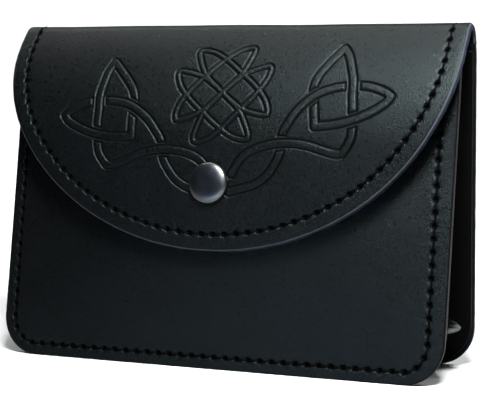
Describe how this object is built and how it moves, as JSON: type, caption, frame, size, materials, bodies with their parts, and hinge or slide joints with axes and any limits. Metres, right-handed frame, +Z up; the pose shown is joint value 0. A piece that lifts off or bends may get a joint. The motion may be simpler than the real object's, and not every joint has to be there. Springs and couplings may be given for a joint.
{
  "type": "sporran pouch",
  "caption": "Leather sporran pouch with a half-round flap closed by a domed press stud, a channel gusset between front and back, and a belt loop behind.",
  "frame": {"origin": "on the standing surface, under the middle of the pouch's box", "axes": "+Z up, -Y out of the front where the flap and stud are, +X to the right as the front is seen"},
  "size_m": [0.179, 0.0486, 0.1251],
  "materials": {
    "hide": "black smooth-grain leather, semi-matt, with a fine speckled grain",
    "gusset_hide": "thinner black leather, matt",
    "stud_metal": "dark nickel plate, satin"
  },
  "bodies": {
    "root": {"back_and_flap": "hide", "front_panel": "hide", "gusset": "gusset_hide", "snap_cap": "stud_metal", "snap_stud": "stud_metal", "belt_loop": "hide"}
  },
  "joints": []
}
